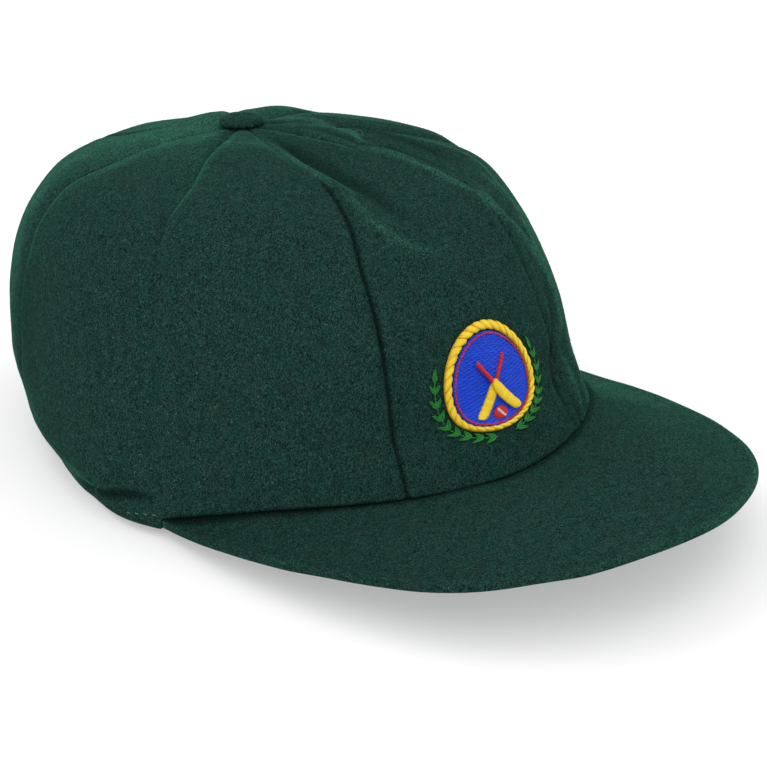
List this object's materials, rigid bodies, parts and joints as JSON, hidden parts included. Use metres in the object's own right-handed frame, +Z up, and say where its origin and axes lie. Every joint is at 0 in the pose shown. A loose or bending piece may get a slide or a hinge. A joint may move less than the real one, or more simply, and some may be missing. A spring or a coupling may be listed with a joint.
{
  "type": "cricket cap",
  "caption": "Traditional wool cricket cap with a rounded, gored crown, a covered button, a short curved peak and a small embroidered badge, for sun and play.",
  "frame": {"origin": "on the surface the cap rests on, under the middle of its box", "axes": "+Z up, the peak points to -Y, and +X is the wearer's left"},
  "size_m": [0.1752, 0.2856, 0.1004],
  "materials": {
    "wool": "matte milled wool with a short nap",
    "gold_thread": "satin stitch",
    "blue_thread": "satin stitch",
    "red_thread": "satin stitch",
    "green_thread": "satin stitch"
  },
  "bodies": {
    "root": {"crown_panel_1": "wool", "crown_panel_2": "wool", "crown_panel_3": "wool", "crown_panel_4": "wool", "crown_panel_5": "wool", "crown_panel_6": "wool", "crown_panel_7": "wool", "crown_panel_8": "wool", "peak": "wool", "button": "wool", "badge_ground": "blue_thread", "badge_rope": "gold_thread", "badge_ball": "red_thread", "badge_bat_left": "gold_thread", "badge_bat_right": "gold_thread", "badge_spray_left": "green_thread", "badge_spray_right": "green_thread"}
  },
  "joints": []
}
